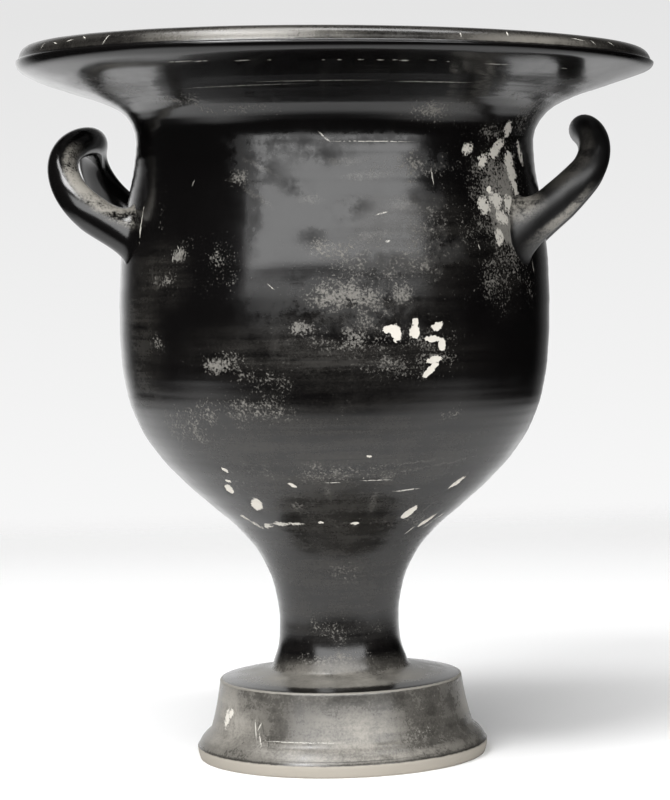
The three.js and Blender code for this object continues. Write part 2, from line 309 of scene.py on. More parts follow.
def curled_sheet(handle):
    """Side view of the sheet: root to knee to tip."""
    root, knee, tip = handle["root"], handle["knee"], handle["tip"]
    root_dir, knee_dir, tip_dir = (heading(handle[key]) for key in ("root_dir", "knee_dir", "tip_dir"))
    return np.vstack([
        [root],
        sweep(root, root_dir, ROLL["root_out"], knee, knee_dir, handle["knee_in"], SHEET_STEPS),
        sweep(knee, knee_dir, handle["knee_out"], tip, tip_dir, handle["tip_in"], SHEET_STEPS),
    ])


def horseshoe(handle, reach):
    """Plan of the roll in the flat sheet: [across, along], two straight arms and a half ellipse."""
    half, arm = handle["span"] / 2, reach - handle["bend"]
    a = np.linspace(np.pi, 0, BOW_STEPS + 1)
    bow = np.stack([half * np.cos(a), arm + handle["bend"] * np.sin(a)], -1)
    return np.vstack([[[-half, 0]], bow, [[half, 0]]])


def roll(handle, distance, path, sheet, nearness):
    """Rings of the roll: centre + wide cos(k) + high sin(k), both larger by nearness^1.5 at the roots."""
    flat, along = follow(path, distance), direction(path, distance)
    place, climb = follow(sheet, flat[:, 1]), direction(sheet, flat[:, 1])
    none = np.zeros(len(distance))
    across = np.array([0.0, 1.0, 0.0])
    outward = np.stack([climb[:, 0], none, climb[:, 1]], -1)
    normal = np.stack([-climb[:, 1], none, climb[:, 0]], -1)
    swell = nearness[:, None] ** 1.5
    centre = np.stack([place[:, 0], flat[:, 0], place[:, 1]], -1) + normal * ROLL["root_lift"] * swell
    heads = across * along[:, :1] + outward * along[:, 1:]
    wide = (across * along[:, 1:] - outward * along[:, :1]) * (ROLL["r"] + ROLL["root_extra_wide"] * swell)
    high = normal * (ROLL["r"] + ROLL["root_extra_high"] * swell)
    k = 2 * np.pi * np.arange(ROLL_SIDES)[None, :, None] / ROLL_SIDES
    return centre[:, None] + wide[:, None] * np.cos(k) + high[:, None] * np.sin(k), heads, wide


def pad(handle, ring, head, facing, side):
    """The smeared joint: each side of the roll runs out along the wall to an oval on the shoulder."""
    wall = np.vstack([[belly], shoulder])
    k = 2 * np.pi * np.arange(ROLL_SIDES) / ROLL_SIDES
    middle = side * math.asin(handle["span"] / 2 / np.interp(handle["pad_z"], wall[:, 1], wall[:, 0]))
    wide = handle["pad_wide"] * np.cos(k) * facing
    high = np.where(np.sin(k) > 0, handle["pad_up"], handle["pad_down"]) * np.sin(k)
    r = np.interp(handle["pad_z"] + high, wall[:, 1], wall[:, 0]) - PAD_SINK
    turn = middle + wide / r
    end = np.stack([r * np.cos(turn), r * np.sin(turn), handle["pad_z"] + high], -1)
    outward = np.stack([-np.sin(turn) * wide, np.cos(turn) * wide, high], -1)
    outward /= np.linalg.norm(outward, axis=1, keepdims=True)
    return cubic(ring, ring + PAD_LEAVE * side * head, end - PAD_ARRIVE * outward, end, PAD_STEPS)


def handle_skin(handle, number):
    """Pad, roll and pad again as one row of rings, closed inside the wall and turned to its place."""
    sheet = curled_sheet(handle)
    path = horseshoe(handle, lengths(sheet)[-1])
    total = lengths(path)[-1]
    wall_r = np.interp(handle["pad_z"], shoulder[:, 1], shoulder[:, 0])
    wall_x = math.sqrt(wall_r**2 - (handle["span"] / 2) ** 2)
    # The sheet moves away from the axis up to its knee and a little past it.
    rising = slice(0, SHEET_STEPS + 10)
    start = np.interp(wall_x + PAD_REACH, sheet[rising, 0], lengths(sheet)[rising])
    distance = np.linspace(start, total - start, ROLL_STEPS + 1)
    from_root = np.minimum(distance, total - distance) - start
    nearness = np.clip(1 - from_root / ROLL["taper"], 0, 1)
    middle, heads, wide = roll(handle, distance, path, sheet, nearness)
    near = pad(handle, middle[0], heads[0], np.sign(wide[0, 1]), -1)[::-1]
    far = pad(handle, middle[-1], heads[-1], np.sign(wide[-1, 1]), 1)
    rings = np.vstack([near, middle, far])
    inner = wall_r - WALL / 2
    turn = math.asin(handle["span"] / 2 / inner)
    ends = [[inner * math.cos(t), inner * math.sin(t), handle["pad_z"]] for t in (-turn, turn)]
    c, s = math.cos(math.radians(handle["turn"])), math.sin(math.radians(handle["turn"]))
    spin = np.array([[c, s, 0], [-s, c, 0], [0, 0, 1]])
    round_roll = np.arange(ROLL_SIDES + 1) * 2 * np.pi * ROLL["r"] / ROLL_SIDES + SHIFT * number
    along = lengths(rings[:, 0]) + SHIFT * number
    flat = np.stack(np.broadcast_arrays(round_roll[None, :], along[:, None]), -1)
    return skin(rings @ spin, flat, *(np.array(ends) @ spin))


# The potter joined the bowl to its stem a little off true: it leans and sags sideways, and the foot
# stands level. All heights come down or up by x times the tip, and the axis shifts by the sway. Each
# tip is added between two heights, as [slope, from z, to z]: the bowl leans, the flare less, the lip more.
LEAN = 0.027
TIPS = [(LEAN, 45, 105), (-0.01, 308, 322), (0.014, 326, 340)]
SWAY = {"from": 105, "to": 195}


def smoothstep(x, low, high):
    """3 t^2 - 2 t^3, with t running from 0 at low to 1 at high."""
    t = np.clip((x - low) / (high - low), 0, 1)
    return t * t * (3 - 2 * t)


def sway(z):
    """Sideways shift of the axis at a height: the lean, as it sets in between two heights, summed up."""
    reach = SWAY["to"] - SWAY["from"]
    u = np.clip((z - SWAY["from"]) / reach, 0, 1)
    return LEAN * (reach * (u**3 - u**4 / 2) + np.maximum(z - SWAY["to"], 0))


def settle(corners):
    """x shifts by the sway, z falls by x times the tip, and the middle of the mouth is at x = 0."""
    x, y, z = corners.T
    tip = sum(slope * smoothstep(z, low, high) for slope, low, high in TIPS)
    return np.stack([x + sway(z) - sway(HEIGHT), y, z - x * tip], -1)


def one_mesh(name, skins, covers):
    """Skins joined into one mesh in metres, smooth, with a UV map in millimetres and soft covers."""
    corners, faces, flats, base = [], [], [], 0
    for skin_corners, quads, fans, quad_uv, fan_uv in skins:
        corners.append(skin_corners)
        faces += (quads + base).tolist() + (fans + base).tolist()
        flats += [quad_uv, fan_uv]
        base += len(skin_corners)
    mesh = bpy.data.meshes.new(name)
    mesh.from_pydata((settle(np.vstack(corners)) / 1000).tolist(), [], faces)
    mesh.uv_layers.new(name="clay_mm").data.foreach_set("uv", np.vstack(flats).ravel())
    for label, places in covers.items():
        cover = mesh.attributes.new(label, "FLOAT", "CORNER")
        cover.data.foreach_set("value", spread(np.vstack(flats), places))
    mesh.shade_smooth()
    piece = bpy.data.objects.new(name, mesh)
    bpy.context.scene.collection.objects.link(piece)
    return piece


# Soft places of the finish, as [turn, height, half width, half height, lean] like the chips: pale dust
# and thicker crust, thin grey film, rubbed clay on foot and lip that also paints highlights and the foot's
# lit left side, and patches where the gloss is dull.
DUST = [
    (24, 309, 22, 15, 0), (25, 308, 10, 8, 0), (8, 224, 36, 15, 0), (-4, 222, 18, 10, 0),
    (13, 224, 20, 11, 0), (-50, 232, 20, 14, 10), (-44, 244, 16, 10, 30), (-52, 262, 6, 22, 0),
    (-30, 238, 26, 22, 0), (8, 206, 60, 19, 0), (24, 205, 28, 13, 0), (-8, 211, 16, 9, 0),
    (-31, 194, 30, 11, 0), (-52, 203, 12, 9, 0), (16, 193, 46, 13, 0), (-20, 188, 44, 13, -6),
    (44, 268, 30, 54, 5), (54, 256, 24, 56, 0), (45, 232, 28, 26, 0), (0, 246, 36, 14, 0),
    (24, 252, 30, 34, 0), (-26, 279, 12, 10, -20), (22, 284, 46, 14, 0), (8, 232, 56, 22, 0),
    (-15, 127, 12, 14, 10), (8, 118, 30, 9, 0), (38, 121, 18, 14, -40), (-37, 134, 14, 16, 20),
    (42, 118, 24, 14, 0), (0, 50, 50, 8, 0), (0, 64, 40, 12, 0), (4, 92, 18, 14, 0),
    (-25, 309, 44, 8, 0), (-44, 314, 36, 12, 0), (46, 316, 50, 14, 0), (66, 310, 40, 24, 0),
    (-20, 172, 60, 14, 0), (33, 171, 14, 7, 0), (-44, 165, 50, 24, 0), (0, 143, 80, 16, 0),
    (34, 16, 40, 12, 0), (-34, 14, 30, 14, 0), (140, 230, 50, 60, 0), (-130, 180, 60, 70, 0),
    (110, 140, 40, 30, 0), (-100, 300, 40, 20, 0), (160, 310, 30, 14, 0), (150, 90, 60, 40, 0),
]
CRUST = [
    (54, 264, 16, 26, 6), (48, 300, 14, 8, 0), (36, 303, 14, 6, 0), (58, 280, 14, 16, 0),
    (50, 272, 18, 36, 6), (57, 290, 13, 20, 10), (56, 248, 15, 24, 10), (62, 230, 12, 26, 0),
    (66, 266, 12, 34, 0), (-66, 260, 5, 14, 0), (-47, 231, 9, 5, 8), (4, 225, 16, 7, 0),
    (17, 226, 9, 5, 0), (-8.5, 211, 9, 5, 0), (26, 309, 10, 6, 0), (28, 197, 18, 6, 0),
    (-31, 193, 11, 5, 0), (-44, 243, 7, 4, 20), (-63, 20, 9, 10, 0),
]
FILM = [
    (6, 212, 60, 26, 0), (0, 198, 96, 22, 0), (20, 153, 110, 44, 0), (-20, 152, 110, 44, 0),
    (0, 128, 120, 50, 0), (50, 262, 26, 56, 0), (0, 92, 120, 60, 0), (20, 250, 50, 40, 0),
    (-58, 322, 44, 30, 0), (64, 320, 50, 34, 0), (30, 309, 40, 10, 0), (-50, 234, 26, 22, 0),
    (-62, 200, 30, 60, 0), (130, 200, 80, 90, 0), (-130, 190, 70, 110, 0),
]
# The two lip ovals paint a highlight. On the foot, the front ovals paint a highlight, and the left ovals
# at -58 and -72 paint a lighter, lit left side. The rest is rubbed clay.
WEAR_AND_PAINTED_LIGHT = [
    (-14, 337.4, 74, 5.5, 0), (36, 337.4, 60, 4, 0), (-58, 20, 34, 26, 0), (4, 40, 40, 6, 0),
    (6, 18, 40, 20, 0), (8, 14, 26, 13, 0), (-72, 22, 34, 30, 0), (10, 9, 90, 5, 0),
    (0, 41.5, 110, 16, 0), (-10, 47, 30, 7, 0), (6, 49, 22, 7, 0), (80, 26, 22, 20, 0),
    (-24, 12, 30, 7, 0), (130, 20, 60, 16, 0),
]
MATT = [
    (-22, 285, 26, 13, -24), (-4, 288, 22, 9, 0), (-10, 273, 14, 7, -24), (4, 264, 18, 9, 10),
    (24, 268, 16, 9, 0), (-6, 252, 10, 8, 0), (30, 244, 20, 14, 0), (12, 240, 26, 8, 0),
    (26, 286, 20, 7, 0), (-21, 262, 6, 30, 0), (0, 222, 60, 18, 0), (-14, 294, 40, 7, 0),
    (10, 296, 34, 5, 0), (110, 220, 40, 70, 0), (-150, 250, 40, 50, 0), (170, 170, 60, 30, 0),
]


def spread(flat, places):
    """Cover of soft ovals: 1 in the middle, 0 at the edge, and two that meet fill each other's gaps."""
    free = np.ones(len(flat))
    for turn, height, wide, high, lean in places:
        across = flat[:, 0] - math.radians(turn) * BELLY["r"]
        up = flat[:, 1] - run_at(height)
        c, s = math.cos(math.radians(lean)), math.sin(math.radians(lean))
        stretch = BELLY["r"] / radius_at(height)
        far = np.hypot((across * c + up * s) / (wide * stretch), (up * c - across * s) / high)
        free *= 1 - smoothstep(1 - far, 0, 1)
    return 1 - free


body, body_flat = thrown()
body_skin = skin(body[1:-1, :-1], body_flat[1:-1], [0, 0, HOLLOW["top_z"]], [0, 0, FLOOR["z"]])
COVERS = {"dust": DUST, "crust": CRUST, "film": FILM, "wear_and_painted_light": WEAR_AND_PAINTED_LIGHT, "matt": MATT}
handle_skins = [handle_skin(h, i + 1) for i, h in enumerate(HANDLES)]
krater = one_mesh("krater_body", [body_skin] + handle_skins, COVERS)


def linear(colour):
    """An sRGB hex value as linear red, green, blue and full alpha."""
    parts = np.array([colour >> 16 & 255, colour >> 8 & 255, colour & 255]) / 255
    low, high = parts / 12.92, ((parts + 0.055) / 1.055) ** 2.4
    return (*np.where(parts <= 0.04045, low, high).tolist(), 1.0)


def per(size_mm):
    """Scale of a pattern on Object coordinates whose features are this many millimetres apart."""
    return 1000 / size_mm


def add(tree, kind, inputs, **settings):
    """Adds a node, applies its settings, and gives each input a value or a link. Returns its outputs."""
    made = tree.nodes.new(kind)
    for name, value in settings.items():
        setattr(made, name, value)
    for key, value in inputs.items():
        if isinstance(value, bpy.types.NodeSocket):
            tree.links.new(value, made.inputs[key])
        else:
            made.inputs[key].default_value = value
    return made.outputs


def ovals(tree, flat, places):
    """1 at the middle of each oval place, falling evenly to 0 at its edge."""
    total = None
    for turn, height, wide, high, lean in places:
        stretch = BELLY["r"] / radius_at(height)
        centre = (math.radians(turn) * BELLY["r"], run_at(height), 0)
        settings = {"Location": centre, "Rotation": (0, 0, math.radians(lean))}
        settings["Scale"] = (wide * stretch, high, 1)
        spot = add(tree, "ShaderNodeMapping", {"Vector": flat, **settings}, vector_type="TEXTURE")[0]
        value = add(tree, "ShaderNodeTexGradient", {"Vector": spot}, gradient_type="SPHERICAL")["Fac"]
        if total is None:
            total = value
        else:
            total = add(tree, "ShaderNodeMath", {0: total, 1: value}, operation="MAXIMUM")[0]
    return total


# Sharp places of the finish, with their numbers in the same order: white lime, broken rows of fine
# dashes, pale scratches, dark lines from the turning, and faint smears left by wiping.
LIME = [
    (39, 292, 5.6, 4, 30), (56.5, 302, 4.6, 5.6, -20), (51, 292.5, 10, 4, 30),
    (44.5, 286.5, 4.8, 4, 30), (56.8, 287.5, 5.6, 6.4, 0), (57.6, 280, 4.8, 9, 8),
    (58.6, 273, 3.2, 7, 6), (64.5, 291, 3, 8, 30), (43, 266, 5.6, 5.6, 20), (48.5, 268.5, 6.8, 5.6, 0),
    (53.5, 267, 6.8, 6.4, 10), (56, 262.5, 4.6, 5, 0), (50, 261, 6.4, 5, -30),
    (48, 251.3, 3.8, 4.8, 10), (62, 258, 3, 9, 10), (68, 262, 1.4, 14, 12), (-50, 118.8, 3, 2.4, -20),
    (-46, 115.4, 5, 2.4, -28), (-38, 115.2, 5, 2.2, 10), (-29, 116.8, 5.4, 2.6, 0),
    (-20, 117.3, 5, 1.9, 0), (-63, 22, 3.8, 6, -12), (-60, 25, 2.8, 3.4, 0), (-63, 258, 0.9, 11, 0),
    (9, 141, 0.7, 0.7, 0),
]
DASHES = [
    (-28, 328.4, 9, 0.5, 1), (-24, 328.2, 5, 0.7, 1), (-16.4, 327.9, 5, 0.5, 0),
    (-11.5, 327.8, 1.2, 0.5, 0), (-2, 327.5, 1, 0.5, 0), (0.8, 327.5, 1.4, 0.6, 0),
    (4.5, 327.5, 1.8, 0.6, 0), (8, 327.4, 2.4, 0.7, 0), (10.6, 327.4, 1.8, 0.6, 0),
    (12.3, 327.2, 3, 1, 4), (17.5, 327.4, 2.6, 0.6, 0), (20.5, 327, 1.6, 0.5, 0),
    (31, 326.4, 9, 0.6, 0), (48.5, 326.2, 3, 0.5, 0), (-4, 320, 40, 0.28, 0), (22, 319.6, 26, 0.5, 0),
]
SCRATCHES = [
    (26.8, 278.5, 0.4, 5.2, 4), (40, 247, 0.35, 2, 20), (13.5, 139.8, 10, 0.45, 1),
    (-1, 138.8, 5, 0.4, 2), (26, 134.4, 9, 0.8, 5), (60, 118.6, 0.7, 6, -50), (57, 114.5, 0.5, 6, -52),
    (44, 112.5, 0.5, 6, -52), (10, 294.4, 26, 0.3, 0), (-2.8, 296.4, 4.6, 0.6, -38),
    (-41, 20, 0.4, 7, 24), (-37.5, 15.5, 0.4, 6, 34), (-39, 21.5, 0.35, 3.6, -40),
    (64, 238, 0.35, 4, 20), (-41, 276, 0.25, 2.4, -20), (-44, 246, 0.3, 2.6, 30),
    (-46, 242, 0.3, 2.6, 0), (-18, 15.6, 26, 0.3, 0), (-42, 338.5, 0.4, 3.4, -26),
    (-52, 339.4, 3.6, 0.3, 10), (-57, 339, 3, 0.3, -20), (-62, 338.6, 0.3, 2.4, -30),
    (-48, 340, 2.6, 0.3, -40), (46, 339.6, 6, 0.3, -8), (50, 339, 0.3, 2, 40),
    (56, 339.4, 3, 0.35, -30), (30, 340, 0.5, 1.6, 0), (21, 338.5, 0.4, 1.5, 0), (12, 262, 4, 0.5, 14),
    (13.5, 249.5, 1.6, 0.8, 10), (-16, 229, 0.3, 3, 52), (-22, 318.8, 40, 0.3, 1),
]
DARK_LINES = [
    (30, 25.5, 0.3, 5, 0), (-37, 21, 0.35, 6, 32), (-33, 14, 0.35, 5, 20), (8, 193, 46, 0.8, 1),
    (14, 190, 40, 1, 2), (4, 186, 44, 0.7, 1), (6, 161, 70, 0.9, 0), (-14, 173, 50, 0.6, -2),
    (-10, 196, 34, 0.6, 0), (8, 7.6, 60, 0.4, 0), (-20, 178, 30, 1.2, -14), (20, 199, 30, 0.7, 2),
    (0, 150, 60, 0.5, 1),
]
SMEARS = [
    (-21, 283.5, 17, 1.7, -24), (-27, 277, 8, 2, -10), (-21, 270, 12, 1.9, -28), (2, 285.5, 12, 2.6, 0),
    (8, 279, 16, 3, 4), (-6, 268.5, 8, 3.4, 0), (10, 252, 16, 3, 8), (18, 266, 10, 5, 0),
    (-3, 245, 10, 3, 20), (36, 147, 40, 0.9, 8), (24, 148, 30, 0.8, 6), (14.5, 128, 2.6, 13, 0),
    (-3, 134, 2.2, 7, 0),
]

# The finish, layer by layer. Patterns of the clay: [runs along the wheel, size in mm, detail, roughness].
PATTERNS = {
    "grain": (False, 1.15, 3.0, 0.7), "cloud": (False, 13, 6.0, 0.68),
    "brush": (True, 4, 5.0, 0.6), "turning": (True, 1.4, 3.0, 0.5),
}
ALONG_WHEEL = (0.06, 0.06, 1.0)
# A noise of this size in mm moves each edge by part of these lengths: lime most, then chips, then lines.
RAG_SIZE = 3.5
RAGGED = {"ragged": 4.5, "frayed": 2.6, "nearly": 0.9}
# Weights that add patterns and covers up to one.
MIXES = {
    "crumbs": {"grain": 0.7, "cloud": 0.5},
    "specks": {"grain": 0.56, "cloud": 0.44, "dust": 0.16, "crust": 0.125},
    "streaks": {"brush": 0.45, "cloud": 0.3, "grain": 0.25},
    "mottle": {"brush": 0.25, "cloud": 0.45, "grain": 0.3},
}
# Smooth steps: a pattern is 0 up to its first number and 1 from its second.
STEPS = {
    "speckled": ("specks", 0.65, 0.78), "grit": ("grain", 0.66, 0.76), "gritty": ("dust", 0, 0.3),
    "film_streaks": ("streaks", 0.36, 0.64), "rim_streaks": ("streaks", 0.3, 0.7),
    "lip_streaks": ("streaks", 0.25, 0.55), "foot_mottle": ("mottle", 0.38, 0.6),
    "handle_mottle": ("mottle", 0.4, 0.56), "patches": ("cloud", 0.34, 0.6),
    "broken": ("grain", 0.36, 0.5), "brushed": ("brush", 0.3, 0.5), "faint": ("grain", 0.3, 0.7),
}
# Crumbly marks: places, edges, weight of the crumbs, step from and to, and the share of each oval over
# which the mark sets in from its edge.
CRUMBLY = {
    "chip": (CHIPS, "frayed", 1, 0.69, 0.77, 0.06),
    "lime": (LIME, "ragged", 1.875, 1.3125, 1.53125, 0.12),
}
# Fine marks: places, edges, step from and to, and the pattern that breaks them up.
FINE = {
    "scratch": (SCRATCHES + DASHES, "nearly", 0.1, 0.6, "broken"),
    "line": (DARK_LINES, "nearly", 0.05, 0.6, "brushed"),
    "smear": (SMEARS, "ragged", 0, 0.8, "faint"),
}
# Bands: the coordinate, then where the band starts, is full, is still full, and ends. Most go round the
# wheel: foot and rim, where wear and painted highlights go, the disc's ridge, rubbed and with a painted
# highlight, a painted dark ring inside it, and the bare edge below.
foot_low, foot_top = run_at(BASE["band_z"]), run_at(STEM_FOOT["z"])
lip_low, lip_top = run_at(LIP["groove_z"]), run_at(HEIGHT)
edge = run_at(DISC["top_z"])
BANDS = {
    "foot": ("along", foot_low - 0.5, foot_low + 2, foot_top - 3, foot_top + 9),
    "rim": ("along", lip_low - 0.4, lip_low + 0.4, lip_top + 4, lip_top + 9),
    # ridge: rubbed clay and a painted highlight along the disc's rounded edge.
    "ridge": ("along", edge - 1.6, edge - 0.9, edge - 0.2, edge + 0.5),
    # ring: a painted dark ring just inside the disc's edge, where the rounded edge reflects dark.
    "ring": ("along", edge + 0.1, edge + 0.8, edge + 5, edge + 9),
    "bare": ("along", -1, 0, foot_low - 0.4, foot_low + 0.6),
    "right_roll": ("round_roll", 900, 950, 1400, 1500),
}
# Rubbed places on the handles, the last a painted highlight stripe along the second handle's arm: [handle,
# share of the way round, half width, from, to, strength], with from and to in mm along the roll from its
# first root.
HANDLE_RUBS_AND_HIGHLIGHT = [
    (1, 0.36, 7, 16, 64, 0.15), (1, 0.34, 8, -30, 20, 0.9), (1, 0.66, 3.5, 2, 36, 1.0),
    (2, 0.35, 5.6, 98, 240, 1.0),
]
HANDLE_RUBS_AND_HIGHLIGHT_FADE = {"sides": 0.4, "start": 16, "end": 12}
# How patterns, bands and covers make each layer, one sum after the other: [result, sum, parts].
RECIPE = [
    ("film", "MULTIPLY", "film", "film_streaks"),
    ("rim_film", "MULTIPLY", "rim", "rim_streaks"),
    ("film", "MAXIMUM", "film", "rim_film"),
    ("grit", "MULTIPLY", "grit", "gritty"),
    ("grit", "MULTIPLY", "grit", 0.8),
    ("dust", "MAXIMUM", "speckled", "grit"),
    ("off_rim", "MULTIPLY_ADD", "rim", -0.7, 1.0),
    ("dust", "MULTIPLY", "dust", "off_rim"),
    # Foot: rubbed grey clay, which also paints a highlight at its front and a lighter left side.
    ("foot_wear_and_painted_light", "MULTIPLY_ADD", "wear_and_painted_light", 0.64, 0.32),
    ("foot_wear_and_painted_light", "MULTIPLY", "foot_wear_and_painted_light", "foot"),
    ("foot_mottle", "MULTIPLY_ADD", "foot_mottle", 0.65, 0.35),
    ("worn_and_highlights", "MULTIPLY", "foot_wear_and_painted_light", "foot_mottle"),
    # Painted highlight on the lip, partly rubbed clay: rubbed grey laid where the overhead light's
    # reflection falls on the lip's front.
    ("lip_wear_and_highlight", "MULTIPLY", "rim", "wear_and_painted_light"),
    ("lip_wear_and_highlight", "MULTIPLY", "lip_wear_and_highlight", "lip_streaks"),
    ("lip_wear_and_highlight", "MULTIPLY", "lip_wear_and_highlight", 0.62),
    ("worn_and_highlights", "MAXIMUM", "worn_and_highlights", "lip_wear_and_highlight"),
    # Painted highlight on the disc's rounded edge, partly rubbed clay.
    ("ridge", "MULTIPLY", "ridge", 0.8),
    ("worn_and_highlights", "MAXIMUM", "worn_and_highlights", "ridge"),
    # Painted dark ring: the rubbed grey is taken off just inside the disc's edge, so that the black gloss
    # shows there.
    ("off_painted_dark_ring", "MULTIPLY_ADD", "ring", -0.85, 1.0),
    ("worn_and_highlights", "MULTIPLY", "worn_and_highlights", "off_painted_dark_ring"),
    ("matt", "MULTIPLY", "matt", "patches"),
    ("relief", "MULTIPLY", "turning", 0.008),
    ("relief", "MULTIPLY_ADD", "brush", 0.016, "relief"),
    ("relief", "MULTIPLY_ADD", "grain", 0.014, "relief"),
    ("relief", "MULTIPLY_ADD", "chip", -0.18, "relief"),
]
# Rubbed grey on the handles. The last place paints a highlight stripe along the second handle's arm.
for i, (number, share, reach, low, high, strength) in enumerate(HANDLE_RUBS_AND_HIGHLIGHT):
    middle, start = SHIFT * number + 2 * math.pi * ROLL["r"] * share, SHIFT * number
    inner, first, last = reach * HANDLE_RUBS_AND_HIGHLIGHT_FADE["sides"], start + low, start + high
    BANDS[f"girth_{i}"] = ("round_roll", middle - reach, middle - inner, middle + inner, middle + reach)
    BANDS[f"rub_and_highlight_{i}"] = ("along_roll", first, first + HANDLE_RUBS_AND_HIGHLIGHT_FADE["start"], last - HANDLE_RUBS_AND_HIGHLIGHT_FADE["end"], last)
    RECIPE += [
        (f"rub_and_highlight_{i}", "MULTIPLY", f"rub_and_highlight_{i}", f"girth_{i}"),
        (f"rub_and_highlight_{i}", "MULTIPLY", f"rub_and_highlight_{i}", "handle_mottle"),
        (f"rub_and_highlight_{i}", "MULTIPLY", f"rub_and_highlight_{i}", strength),
        ("worn_and_highlights", "MAXIMUM", "worn_and_highlights", f"rub_and_highlight_{i}"),
    ]
# Layers over the gloss from the bottom up: [name, cover, colour, how dull]. A cover of 0 only dulls.
GLOSS = 0x0A0909
# The worn grey layer also paints the highlights on lip, disc edge, foot and second handle, and the foot's
# lighter left side. The dark ring on the disc is painted where this layer is taken away.
LAYERS = [
    ("film", 1, 0x312F2C, 0.3), ("worn_and_highlights", 0.95, 0x98948C, 0.5), ("dust", 0.8, 0x85827C, 0.8),
    ("smear", 0.3, 0x85827C, 0), ("line", 0.6, 0x121110, 0), ("scratch", 1, 0xC2BFB7, 0),
    ("bare", 1, 0x9B958B, 1), ("lime", 1, 0xC9C5BC, 0.95), ("chip", 1, 0xDDD8CE, 1),
    ("matt", 0, GLOSS, 0.62), ("right_roll", 0, GLOSS, 0.3),
]
# Roughness of the gloss and of a dull layer, and how much the clouds take away or add.
ROUGHNESS = {"gloss": 0.16, "dull": 0.85, "least": -0.08, "most": 0.1}


